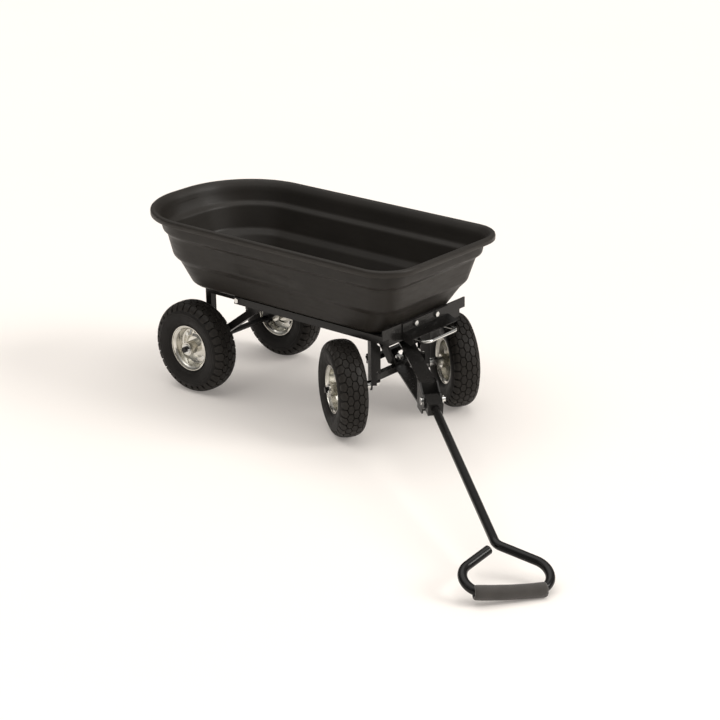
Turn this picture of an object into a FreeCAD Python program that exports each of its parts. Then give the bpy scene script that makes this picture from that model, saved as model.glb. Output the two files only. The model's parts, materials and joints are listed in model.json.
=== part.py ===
import FreeCAD, Part
import math
import os

# Garden tipping cart. The cart is laid out with the rear axle on Y = 0, the pull end towards -Y,
# +X to the left of someone walking in front, and the ground at Z = 0. Everything is moved at the
# end so that the origin is the middle of the whole cart's footprint, on the ground.

V = FreeCAD.Vector
AXIS_X = V(1, 0, 0)
AXIS_Y = V(0, 1, 0)
AXIS_Z = V(0, 0, 1)

# ---------------------------------------------------------------- driving dimensions (mm, degrees)
WHEEL_RADIUS = 130.0
TYRE_WIDTH = 80.0
HUB_HALF = 38.0
AXLE_DIA = 16.0
AXLE_CLEARANCE = 0.05
BORE_PLAY = 0.1

REAR_TRACK_HALF = 180.0
WHEELBASE = 581.0
KINGPIN_X = 100.0
WHEEL_OFFSET = 89.0

DRAWBAR_TURN = -38.0
WHEEL_TURN = -33.6
STEER_RATIO = WHEEL_TURN / DRAWBAR_TURN
HANDLE_DROP = 10.5

TUBE = 20.0
RAIL_OUTER_X = 149.0
RAIL_WIDTH = 25.0
RAIL_REAR_Y = -122.0
REAR_RAIL_FRONT_Y = -215.0
REAR_RAIL_X = RAIL_OUTER_X - RAIL_WIDTH
RAIL_TOP = 290.0
RAIL_BOTTOM = RAIL_TOP - TUBE
WALL = 2.0
PLATE = 4.0

TUB_GAP = 0.3
TUB_FLOOR = RAIL_TOP + TUB_GAP
TUB_WALL = 4.0
TUB_RIM_HALF = 249.0
TUB_RIM_REAR = 218.0
TUB_RIM_FRONT = -759.5
TUB_RIM_TOP = 503.0
TUB_RIM_LIP = 18.0
TUB_RIM_REAR_RADIUS = 222.0
TUB_RIM_FRONT_RADIUS = 98.0
# Outer faces of the tub wall: height, half width, front, rear, front corner and rear corner radius.
TUB_LEVELS = (
    (TUB_FLOOR, 145.0, -634.0, 80.0, 50.0, 92.0),
    (TUB_FLOOR + 7.0, 154.0, -643.0, 90.0, 58.0, 101.0),
    (357.0, 178.0, -681.5, 132.0, 62.0, 135.0),
    (373.0, 192.0, -694.5, 152.0, 64.0, 152.0),
    (436.0, 206.0, -712.5, 166.0, 66.0, 165.0),
    (447.0, 218.0, -724.5, 179.0, 68.0, 180.0),
    (TUB_RIM_TOP, 224.0, -731.5, 193.0, 70.0, 197.0),
)

HINGE_Y = 35.0
HINGE_Z = 279.0
HINGE_PIN_DIA = 8.0

BEAM = 18.0
BEAM_Z = 142.0
CROSS_Z = 262.0
FRONT_FACE_Y = -668.0

ARM_WIDTH = 40.0
ARM_THICK = 5.0
LOWER_ARM_Z = BEAM_Z + BEAM + 0.4
UPPER_ARM_REAR_Z = 253.0
UPPER_ARM_FRONT_Z = 223.0
UPPER_ARM_REACH = 325.0
UPPER_ARM_LIP = 30.0
LOWER_ARM_REACH = 345.0
TAIL_RADIUS = 52.5
STEERING_ARM = 60.0
TIE_ROD = 14.0
TIE_ROD_Z = 169.0

PIN_REACH = 356.0
PIN_Z = 192.0
PIN_DIA = 12.0
HANDLE_TUBE = 22.0
HANDLE_SHAFT = 615.0
LOOP_DROP = 13.5
LOOP_TWIST = 5.5
# Corners of the loop in its own plane: distance out from the shaft's line and beyond the bend.
LOOP_LEFT = (200.5, 129.2)
LOOP_RIGHT = (183.8, 130.6)
LOOP_CROWN = 140.5
SHAFT_BEND_RADIUS = 22.0
LOOP_LEFT_RADIUS = 45.8
LOOP_RIGHT_RADIUS = 43.6
LOOP_CROWN_RADIUS = 300.0
LOOP_END_GAP = 26.0
GRIP_RADIUS = 17.2
GRIP_LEFT = 77.5
GRIP_RIGHT = 80.0
GRIP_LEFT_TILT = 22.0
GRIP_RIGHT_TILT = 28.0

BAIL_DIA = 9.0
BAIL_Z = 270.0
BAIL_HALF = 64.0
BAIL_FRONT_Y = -728.0
LATCH_BAR_Y = -634.0
LATCH_BAR_DEPTH = 8.0
GUIDE_HOLE = BAIL_DIA + 0.6
FRONT_PLATE_BOTTOM = 260.0
FRONT_PLATE_HALF = 172.0
FRONT_PLATE_TOP = RAIL_TOP + 28.0
LATCH_TAB_HALF = 75.0


# ---------------------------------------------------------------- small shape helpers
def box(x0, x1, y0, y1, z0, z1):
    return Part.makeBox(x1 - x0, y1 - y0, z1 - z0, V(x0, y0, z0))


def rod(start, axis, diameter, length):
    return Part.makeCylinder(diameter / 2, length, start, axis)


def sleeve(start, axis, outer, inner, length):
    return rod(start, axis, outer, length).cut(rod(start, axis, inner, length))


def hexagon(start, axis, across_flats, height):
    radius = across_flats / math.sqrt(3)
    corners = [V(radius * math.cos(math.radians(60 * i)), radius * math.sin(math.radians(60 * i)), 0)
               for i in range(7)]
    prism = Part.Face(Part.makePolygon(corners)).extrude(V(0, 0, height))
    prism.Placement = FreeCAD.Placement(start, FreeCAD.Rotation(AXIS_Z, axis))
    return prism


def bolt(head, axis, diameter, length, across_flats, head_height):
    """A hexagon bolt: head is the centre of the face under the head, axis points to the tip."""
    top = head - axis * head_height
    return hexagon(top, axis, across_flats, head_height).fuse(rod(head, axis, diameter, length))


def prism(points, normal, thickness):
    """A flat plate with the given outline, thickened along normal."""
    return Part.Face(Part.makePolygon(list(points) + [points[0]])).extrude(normal * thickness)


def square_tube(x0, x1, y0, y1, z0, z1, along):
    """A hollow square or rectangular bar whose ends are open along X, Y or Z."""
    inset = {"x": (0, WALL, WALL), "y": (WALL, 0, WALL), "z": (WALL, WALL, 0)}[along]
    inner = box(x0 + inset[0], x1 - inset[0], y0 + inset[1], y1 - inset[1],
                z0 + inset[2], z1 - inset[2])
    return box(x0, x1, y0, y1, z0, z1).cut(inner)


def mirrored(shape):
    return shape.mirror(V(0, 0, 0), AXIS_X)


def turned(shape, centre, axis, angle):
    moved = shape.copy()
    moved.rotate(centre, axis, angle)
    return moved


def slot_plate(x0, y0, x1, y1, radius, z, thickness):
    """A flat link with round ends of the same radius, lying level at height z."""
    length = math.hypot(x1 - x0, y1 - y0)
    body = box(0, length, -radius, radius, 0, thickness)
    body = body.fuse(rod(V(0, 0, 0), AXIS_Z, 2 * radius, thickness))
    body = body.fuse(rod(V(length, 0, 0), AXIS_Z, 2 * radius, thickness))
    body = body.removeSplitter()
    body.rotate(V(0, 0, 0), AXIS_Z, math.degrees(math.atan2(y1 - y0, x1 - x0)))
    body.translate(V(x0, y0, z))
    return body


def path_wire(points, radii):
    """Straight runs joined by tangent arcs: one radius for each point between the two ends."""
    edges = []
    start = points[0]
    for before, corner, after, radius in zip(points, points[1:], points[2:], radii):
        back = (before - corner).normalize()
        ahead = (after - corner).normalize()
        half = back.getAngle(ahead) / 2
        reach = radius / math.tan(half)
        enter = corner + back * reach
        leave = corner + ahead * reach
        middle = corner + (back + ahead).normalize() * (radius / math.sin(half) - radius)
        edges.append(Part.LineSegment(start, enter).toShape())
        edges.append(Part.Arc(enter, middle, leave).toShape())
        start = leave
    edges.append(Part.LineSegment(start, points[-1]).toShape())
    return Part.Wire(edges)


def swept_rod(points, radii, diameter):
    """A round bar that follows a bent path."""
    path = path_wire(points, radii)
    first = (points[1] - points[0]).normalize()
    profile = Part.Wire([Part.makeCircle(diameter / 2, points[0], first)])
    return path.makePipeShell([profile], True, False)


# ---------------------------------------------------------------- the tub
def rounded_outline(z, half, front, rear, front_radius, rear_radius):
    """A closed outline with round corners: four sides and four quarter arcs."""
    corners = (
        (half, rear, rear_radius, 0), (-half, rear, rear_radius, 90),
        (-half, front, front_radius, 180), (half, front, front_radius, 270),
    )
    arcs = []
    for x, y, radius, turn in corners:
        centre = V(x - math.copysign(radius, x), y - math.copysign(radius, y - (front + rear) / 2), z)
        ends = [centre + V(math.cos(math.radians(turn + a)), math.sin(math.radians(turn + a)), 0) * radius
                for a in (0, 45, 90)]
        arcs.append(ends)
    edges = []
    for i, (start, middle, end) in enumerate(arcs):
        edges.append(Part.Arc(start, middle, end).toShape())
        edges.append(Part.LineSegment(end, arcs[(i + 1) % 4][0]).toShape())
    return Part.Wire(edges)


def stacked(levels):
    """A solid through a stack of outlines, straight between each pair."""
    return Part.makeLoft([rounded_outline(*level) for level in levels], True, True)


def inset_level(level, inset, lift=0.0):
    z, half, front, rear, front_radius, rear_radius = level
    return (z + lift, half - inset, front + inset, rear - inset, front_radius - inset, rear_radius - inset)


def tub_shell():
    rim = (TUB_RIM_TOP, TUB_RIM_HALF, TUB_RIM_FRONT, TUB_RIM_REAR, TUB_RIM_FRONT_RADIUS,
           TUB_RIM_REAR_RADIUS)
    rim_top = inset_level(rim, 5.0)
    rim_shoulder = inset_level(rim, 0.0, -5.0)
    rim_foot = inset_level(rim, 0.0, -TUB_RIM_LIP)
    outer_rim = stacked([rim_foot, rim_shoulder, rim_top])
    hollow = stacked([inset_level(rim_foot, TUB_WALL, -1.0), inset_level(rim_shoulder, TUB_WALL, 1.0)])
    outer_wall = stacked(TUB_LEVELS)
    inner_levels = [inset_level(level, TUB_WALL) for level in TUB_LEVELS]
    inner_levels[0] = inset_level(TUB_LEVELS[0], TUB_WALL, TUB_WALL)
    inner_levels[1] = inset_level(TUB_LEVELS[1], TUB_WALL, 2.0)
    inner_levels[-1] = inset_level(TUB_LEVELS[-1], TUB_WALL, 1.0)
    return outer_rim.cut(hollow).fuse(outer_wall).cut(stacked(inner_levels)).removeSplitter()


TUB_BOLT_X = 90.0
HINGE_BOLT_Y = (20.0, 47.0)
HINGE_EAR_X = 66.0
HINGE_GAP = 0.3
CATCH_BOLT_X = 30.0
CATCH_BOLT_Y = -606.0
TUB_BOLT_DIA = 6.0
TUB_BOLT_HEAD = 16.0
BOLT_SEAT_DIA = 19.0
BOLT_SEAT_DEPTH = 0.6


def tub_bolt_places():
    hinge = [(side * TUB_BOLT_X, y) for side in (-1, 1) for y in HINGE_BOLT_Y]
    catch = [(side * CATCH_BOLT_X, CATCH_BOLT_Y) for side in (-1, 1)]
    return hinge + catch


def tub():
    shell = tub_shell()
    for x, y in tub_bolt_places():
        shell = shell.cut(rod(V(x, y, TUB_FLOOR - 1), AXIS_Z, TUB_BOLT_DIA, 8))
        shell = shell.cut(rod(V(x, y, TUB_FLOOR + TUB_WALL - BOLT_SEAT_DEPTH), AXIS_Z, BOLT_SEAT_DIA, 4))
    return shell


def hinge_bracket(side):
    """An angle bracket under the tub floor that turns on the hinge pin beside a frame ear."""
    x_in = HINGE_EAR_X + PLATE + HINGE_GAP
    x_out = x_in + PLATE
    top = TUB_FLOOR
    rear = HINGE_Y + 18
    front = HINGE_Y - 22
    upright = prism([V(x_in, front, top), V(x_in, rear, top), V(x_in, HINGE_Y + 8, HINGE_Z - 9),
                     V(x_in, HINGE_Y - 9, HINGE_Z - 9)], AXIS_X, PLATE)
    flange = box(x_out, x_out + 24, front, rear, top - 3, top)
    bracket = upright.fuse(flange).removeSplitter()
    bracket = bracket.cut(rod(V(x_in - 1, HINGE_Y, HINGE_Z), AXIS_X, HINGE_PIN_DIA + BORE_PLAY, PLATE + 2))
    for y in HINGE_BOLT_Y:
        bracket = bracket.cut(rod(V(TUB_BOLT_X, y, top - 4), AXIS_Z, TUB_BOLT_DIA, 5))
    return bracket if side > 0 else mirrored(bracket)


def tub_catch():
    """The angle under the front of the tub that the latch bar stands against."""
    top = TUB_FLOOR
    flange = box(-45, 45, -613, -596, top - 3, top)
    low = BAIL_Z - 9.3
    web = box(-45, 45, -617, -613, low, top)
    lip = box(-45, 45, LATCH_BAR_Y + LATCH_BAR_DEPTH + 0.6, -617, low, low + 12)
    hook = flange.fuse(web).fuse(lip).removeSplitter()
    for side in (-1, 1):
        hook = hook.cut(rod(V(side * CATCH_BOLT_X, CATCH_BOLT_Y, top - 4), AXIS_Z, TUB_BOLT_DIA, 5))
    return hook


def tub_bolts():
    """Round-head bolts through the tub floor with a nut under each bracket."""
    bolts = []
    for x, y in tub_bolt_places():
        seat = TUB_FLOOR + TUB_WALL - BOLT_SEAT_DEPTH
        head = Part.makeSphere(10.0, V(x, y, seat - 6.0))
        head = head.common(rod(V(x, y, seat), AXIS_Z, TUB_BOLT_HEAD, 10))
        shank = rod(V(x, y, TUB_FLOOR - 9), AXIS_Z, TUB_BOLT_DIA, seat - TUB_FLOOR + 9)
        nut = hexagon(V(x, y, TUB_FLOOR - 8), AXIS_Z, 10, 5)
        bolts.append(head.fuse(shank).fuse(nut).removeSplitter())
    return Part.makeCompound(bolts)


# ---------------------------------------------------------------- the frame
FRAME_BOLT_DIA = 8.0
LAP_BOLT_Y = -134.0
LAP_BOLT_Z = RAIL_BOTTOM + 12.0
HOUSING_BOLT_X = 44.0
HOUSING_BOLT_Z = 306.0


def side_rail(side):
    """The outer rail under the tub, from the front plate back to the bolted lap with the rear rail."""
    x0 = RAIL_OUTER_X - RAIL_WIDTH
    rail = square_tube(x0, RAIL_OUTER_X, FRONT_FACE_Y + PLATE, RAIL_REAR_Y, RAIL_BOTTOM, RAIL_TOP, "y")
    rail = rail.cut(rod(V(x0 - 1, LAP_BOLT_Y, LAP_BOLT_Z), AXIS_X, FRAME_BOLT_DIA, RAIL_WIDTH + 2))
    return rail if side > 0 else mirrored(rail)


def rear_rail(side):
    """The short inner rail on top of the rear leg and its brace."""
    x0 = REAR_RAIL_X - TUBE
    rail = square_tube(x0, REAR_RAIL_X, REAR_RAIL_FRONT_Y, 10, RAIL_BOTTOM, RAIL_TOP, "y")
    rail = rail.cut(rod(V(x0 - 1, LAP_BOLT_Y, LAP_BOLT_Z), AXIS_X, FRAME_BOLT_DIA, TUBE + 2))
    return rail if side > 0 else mirrored(rail)


def front_cross_member():
    """An upright plate across the rails' front ends: its wider top stands in front of the tub."""
    back = FRONT_FACE_Y + PLATE
    low = box(-RAIL_OUTER_X, RAIL_OUTER_X, FRONT_FACE_Y, back, RAIL_BOTTOM, RAIL_TOP)
    tab = box(-LATCH_TAB_HALF, LATCH_TAB_HALF, FRONT_FACE_Y, back, FRONT_PLATE_BOTTOM, RAIL_TOP)
    high = box(-FRONT_PLATE_HALF, FRONT_PLATE_HALF, FRONT_FACE_Y, back, RAIL_TOP, FRONT_PLATE_TOP)
    plate = low.fuse(tab).fuse(high).removeSplitter()
    return with_latch_holes(plate, FRONT_FACE_Y, PLATE)


def with_latch_holes(plate, y, thickness):
    """Drills the two housing bolts' holes and the two guide holes for the bail's legs."""
    for side in (-1, 1):
        for x, z, hole in ((HOUSING_BOLT_X, HOUSING_BOLT_Z, FRAME_BOLT_DIA), (BAIL_HALF, BAIL_Z, GUIDE_HOLE)):
            plate = plate.cut(rod(V(side * x, y - 1, z), AXIS_Y, hole, thickness + 2))
    return plate


def rear_cross_member():
    """The rear cross tube, with two ears that carry the tub's hinge pins."""
    half = REAR_RAIL_X - TUBE
    tube = square_tube(-half, half, -TUBE, 0, RAIL_BOTTOM - 2, RAIL_TOP - 2, "x")
    for side in (-1, 1):
        x0 = HINGE_EAR_X if side > 0 else -HINGE_EAR_X - PLATE
        ear = box(x0, x0 + PLATE, 0, HINGE_Y, HINGE_Z - 10, HINGE_Z + 9)
        ear = ear.fuse(rod(V(x0, HINGE_Y, HINGE_Z), AXIS_X, 20, PLATE))
        ear = ear.cut(rod(V(x0 - 1, HINGE_Y, HINGE_Z), AXIS_X, HINGE_PIN_DIA, PLATE + 2))
        tube = tube.fuse(ear)
    return tube.removeSplitter()


def pivot_cross_member():
    """The front cross tube that carries the tops of the kingpins and of the drawbar."""
    half = RAIL_OUTER_X - RAIL_WIDTH
    y0 = -WHEELBASE - BEAM / 2
    tube = square_tube(-half, half, y0, y0 + BEAM, CROSS_Z, CROSS_Z + BEAM, "x")
    for x in (-KINGPIN_X, 0, KINGPIN_X):
        tube = tube.cut(rod(V(x, -WHEELBASE, CROSS_Z - 1), AXIS_Z, PIN_DIA, BEAM + 2))
    return tube


def rear_leg(side):
    x0 = REAR_RAIL_X - TUBE
    leg = square_tube(x0, REAR_RAIL_X, -TUBE / 2, TUBE / 2, 117, RAIL_BOTTOM, "z")
    leg = leg.cut(rod(V(x0 - 1, 0, WHEEL_RADIUS), AXIS_X, AXLE_DIA, TUBE + 2))
    return leg if side > 0 else mirrored(leg)


def rear_brace(side):
    """A square tube from the foot of the rear leg up to the underside of the rear rail."""
    x0 = REAR_RAIL_X - TUBE
    start = V(x0, 0, WHEEL_RADIUS)
    end = V(x0, -205, RAIL_TOP - 11)
    run = (end - start).normalize()
    across = run.cross(AXIS_X)
    outline = [start + across * (TUBE / 2), start - across * (TUBE / 2),
               end - across * (TUBE / 2), end + across * (TUBE / 2)]
    hollow = [start + across * (TUBE / 2 - WALL), start - across * (TUBE / 2 - WALL),
              end - across * (TUBE / 2 - WALL), end + across * (TUBE / 2 - WALL)]
    bar = prism(outline, AXIS_X, TUBE)
    bar = bar.cut(prism([point + V(WALL, 0, 0) for point in hollow], AXIS_X, TUBE - 2 * WALL))
    bar = bar.common(box(x0, x0 + TUBE, -300, -TUBE / 2, 100, RAIL_BOTTOM)).removeSplitter()
    return bar if side > 0 else mirrored(bar)


def rear_axle():
    half = REAR_TRACK_HALF + HUB_HALF + 12
    axle = rod(V(-half, 0, WHEEL_RADIUS), AXIS_X, AXLE_DIA, 2 * half)
    for side in (-1, 1):
        axle = axle.cut(rod(V(side * (half - 6), -10, WHEEL_RADIUS), AXIS_Y, 3.2, 20))
    return axle


def axle_end_hardware(inner_face, outer_face, spacer_start):
    """Spacer, washer and split pin for one wheel, with the axle along +X."""
    spacer = sleeve(V(spacer_start, 0, 0), AXIS_X, 24, AXLE_DIA, inner_face - spacer_start - 0.3)
    washer = sleeve(V(outer_face + 0.3, 0, 0), AXIS_X, 28, AXLE_DIA, 2.5)
    pin = rod(V(outer_face + 6, -13, 0), AXIS_Y, 3.2, 26)
    eye = Part.makeTorus(3.6, 1.4, V(outer_face + 6, -15.5, 0), AXIS_X)
    return Part.makeCompound([spacer, washer, pin.fuse(eye)])


def rear_axle_hardware():
    one = axle_end_hardware(REAR_TRACK_HALF - HUB_HALF, REAR_TRACK_HALF + HUB_HALF, REAR_RAIL_X)
    one.translate(V(0, 0, WHEEL_RADIUS))
    return Part.makeCompound(one.Solids + mirrored(one).Solids)


def axle_beam():
    """The lower front cross bar, with a round end about each kingpin."""
    y0 = -WHEELBASE - BEAM / 2
    y1 = -WHEELBASE + BEAM / 2
    beam = square_tube(-KINGPIN_X + 20, KINGPIN_X - 20, y0, y1, BEAM_Z, BEAM_Z + BEAM, "x")
    for side in (-1, 1):
        inner_x, outer_x = sorted((side * (KINGPIN_X - 20), side * KINGPIN_X))
        solid_end = box(inner_x, outer_x, y0, y1, BEAM_Z, BEAM_Z + BEAM)
        beam = beam.fuse(solid_end).fuse(rod(V(side * KINGPIN_X, -WHEELBASE, BEAM_Z), AXIS_Z, BEAM, BEAM))
    beam = beam.removeSplitter()
    for x in (-KINGPIN_X, 0, KINGPIN_X):
        beam = beam.cut(rod(V(x, -WHEELBASE, BEAM_Z - 1), AXIS_Z, PIN_DIA, BEAM + 2))
    return beam


STRUT_TAB_Z = LOWER_ARM_Z + ARM_THICK + 0.4
STRUT_TOP_X = 78.0
STRUT_FOOT_X = 24.0
STRUT_WIDTH = 25.0
STRUT_THICK = 7.0


def front_strut(side):
    """A flat bar from the upper cross tube down to a tab on the drawbar's lower pivot."""
    tab_z = STRUT_TAB_Z if side < 0 else STRUT_TAB_Z + PLATE
    y0 = -WHEELBASE - STRUT_WIDTH / 2
    slope = V(STRUT_TOP_X - STRUT_FOOT_X, 0, CROSS_Z - tab_z).normalize()
    thick = V(slope.z, 0, -slope.x) * STRUT_THICK
    foot = V(STRUT_FOOT_X, y0, tab_z)
    top = V(STRUT_TOP_X, y0, CROSS_Z)
    bar = prism([foot, foot + thick, top + thick, top], AXIS_Y, STRUT_WIDTH)
    bar = bar.common(box(0, 130, -700, -500, tab_z, CROSS_Z))
    tab = box(0, STRUT_FOOT_X + 4, y0, y0 + STRUT_WIDTH, tab_z, tab_z + PLATE)
    tab = tab.fuse(rod(V(0, -WHEELBASE, tab_z), AXIS_Z, STRUT_WIDTH, PLATE))
    strut = bar.fuse(tab).removeSplitter()
    strut = strut.cut(rod(V(0, -WHEELBASE, tab_z - 1), AXIS_Z, PIN_DIA, PLATE + 2))
    return strut if side > 0 else mirrored(strut)


def pivot_bolts():
    """The fixed pivot bolts: two on the drawbar's axis and two for each kingpin."""
    down = V(0, 0, -1)
    cross_top = CROSS_Z + BEAM
    lower_top = STRUT_TAB_Z + 2 * PLATE
    bolts = []
    centre_low = bolt(V(0, -WHEELBASE, lower_top), down, PIN_DIA, lower_top - BEAM_Z + 9, 19, 7)
    bolts.append(centre_low.fuse(hexagon(V(0, -WHEELBASE, BEAM_Z - 8), AXIS_Z, 19, 8)))
    centre_high = bolt(V(0, -WHEELBASE, cross_top), down, PIN_DIA, cross_top - UPPER_ARM_REAR_Z + 10, 19, 7)
    bolts.append(centre_high.fuse(hexagon(V(0, -WHEELBASE, UPPER_ARM_REAR_Z - 9), AXIS_Z, 19, 8)))
    for side in (-1, 1):
        x = side * KINGPIN_X
        high = bolt(V(x, -WHEELBASE, cross_top), down, PIN_DIA, cross_top - KNUCKLE_TOP + PLATE + 10, 19, 7)
        bolts.append(high.fuse(hexagon(V(x, -WHEELBASE, KNUCKLE_TOP - PLATE - 9), AXIS_Z, 19, 8)))
        head_z = LOWER_LUG_TOP + 0.3
        low = bolt(V(x, -WHEELBASE, head_z), down, PIN_DIA, head_z - LOWER_LUG_BOTTOM + 10, 19, 7)
        bolts.append(low.fuse(hexagon(V(x, -WHEELBASE, LOWER_LUG_BOTTOM - 8.5), AXIS_Z, 19, 8)))
    return Part.makeCompound([one.removeSplitter() for one in bolts])


def frame_bolts():
    """The bolts of the latch housing, and those that join each side rail to its rear rail."""
    bolts = []
    for side in (-1, 1):
        x = side * HOUSING_BOLT_X
        housing = bolt(V(x, FRONT_FACE_Y - 3, HOUSING_BOLT_Z), AXIS_Y, FRAME_BOLT_DIA, 12, 13, 5.5)
        nut = hexagon(V(x, FRONT_FACE_Y + PLATE, HOUSING_BOLT_Z), AXIS_Y, 13, 4)
        bolts.append(housing.fuse(nut).removeSplitter())
        inward = V(-side, 0, 0)
        lap = bolt(V(side * RAIL_OUTER_X, LAP_BOLT_Y, LAP_BOLT_Z), inward, FRAME_BOLT_DIA, 54, 13, 5.5)
        lap_nut = hexagon(V(side * (REAR_RAIL_X - TUBE), LAP_BOLT_Y, LAP_BOLT_Z), inward, 13, 6.5)
        bolts.append(lap.fuse(lap_nut).removeSplitter())
    return Part.makeCompound(bolts)


def hinge_pins():
    """The two bolts that the tub tips on: the head inside the ear, the nut outside the bracket."""
    pins = []
    nut_x = HINGE_EAR_X + 2 * PLATE + 2 * HINGE_GAP
    for side in (-1, 1):
        outward = V(side, 0, 0)
        pin = bolt(V(side * HINGE_EAR_X, HINGE_Y, HINGE_Z), outward, HINGE_PIN_DIA, 16, 13, 5.5)
        nut = hexagon(V(side * nut_x, HINGE_Y, HINGE_Z), outward, 13, 6.5)
        pins.append(pin.fuse(nut).removeSplitter())
    return Part.makeCompound(pins)


# ---------------------------------------------------------------- the tub latch
HOUSING_HALF = 95.0
HOUSING_FACE_Y = FRONT_FACE_Y - 3.0


def latch_housing():
    """A folded plate on the front member: it guides the bail and has a sloping hood with two ears."""
    wide = box(-HOUSING_HALF, HOUSING_HALF, HOUSING_FACE_Y, FRONT_FACE_Y, 272, RAIL_TOP + 26)
    tab = box(-LATCH_TAB_HALF, LATCH_TAB_HALF, HOUSING_FACE_Y, FRONT_FACE_Y, FRONT_PLATE_BOTTOM, 272)
    face = wide.fuse(tab)
    hood_back = V(-HOUSING_HALF, HOUSING_FACE_Y, 293)
    hood_front = V(-HOUSING_HALF, HOUSING_FACE_Y - 32, 282)
    down = V(0, 0, -3)
    hood = prism([hood_back, hood_front, hood_front + down, hood_back + down], AXIS_X, 2 * HOUSING_HALF)
    housing = face.fuse(hood)
    for x in (-HOUSING_HALF, HOUSING_HALF - 3):
        ear = prism([V(x, HOUSING_FACE_Y, 293), V(x, HOUSING_FACE_Y - 32, 282),
                     V(x, HOUSING_FACE_Y - 36, 270),
                     V(x, HOUSING_FACE_Y - 26, 262), V(x, HOUSING_FACE_Y, 272)], AXIS_X, 3)
        housing = housing.fuse(ear)
    return with_latch_holes(housing.removeSplitter(), HOUSING_FACE_Y, FRONT_FACE_Y - HOUSING_FACE_Y)


def release_bail():
    """The bent wire loop that is pulled to free the tub, with the latch bar welded across its ends."""
    back = LATCH_BAR_Y + 5
    corners = [V(-BAIL_HALF, back, BAIL_Z), V(-BAIL_HALF, BAIL_FRONT_Y, BAIL_Z),
               V(BAIL_HALF, BAIL_FRONT_Y, BAIL_Z), V(BAIL_HALF, back, BAIL_Z)]
    loop = swept_rod(corners, [18, 18], BAIL_DIA)
    half = BAIL_HALF + 9
    bar = box(-half, half, LATCH_BAR_Y, LATCH_BAR_Y + LATCH_BAR_DEPTH, BAIL_Z - 7, BAIL_Z + 7)
    return loop.fuse(bar).removeSplitter()


SPRING_WIRE = 1.6
SPRING_RADIUS = 6.0
SPRING_TURNS = 6


def latch_springs():
    """Two coil springs on the bail's legs, between the housing and the latch bar."""
    start = FRONT_FACE_Y + PLATE + 1.2
    length = LATCH_BAR_Y - 1.2 - start
    springs = []
    for side in (-1, 1):
        helix = Part.makeHelix(length / SPRING_TURNS, length, SPRING_RADIUS)
        profile = Part.Wire([Part.makeCircle(SPRING_WIRE / 2, V(SPRING_RADIUS, 0, 0), AXIS_Y)])
        coil = Part.Wire(helix).makePipeShell([profile], True, True)
        coil.rotate(V(0, 0, 0), AXIS_X, -90)
        coil.translate(V(side * BAIL_HALF, start, BAIL_Z))
        springs.append(coil)
    return Part.makeCompound(springs)


# ---------------------------------------------------------------- steering, drawn straight ahead
KNUCKLE_WEB = 12.0
KNUCKLE_WIDTH = 30.0
KNUCKLE_TOP = CROSS_Z - 1.0
LOWER_LUG_TOP = BEAM_Z + BEAM + 0.4 + PLATE
LOWER_LUG_BOTTOM = BEAM_Z - 0.4 - PLATE
KNUCKLE_SHEET = 3.0
# How far the post's side flanges reach past the kingpin: clear of the beam, and between it and the top.
KNUCKLE_SLIM = 1.5
KNUCKLE_WIDE = -10.0
STEERING_ARM_Z = TIE_ROD_Z + TIE_ROD + 0.5
TIE_PIN_DIA = 8.0


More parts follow.
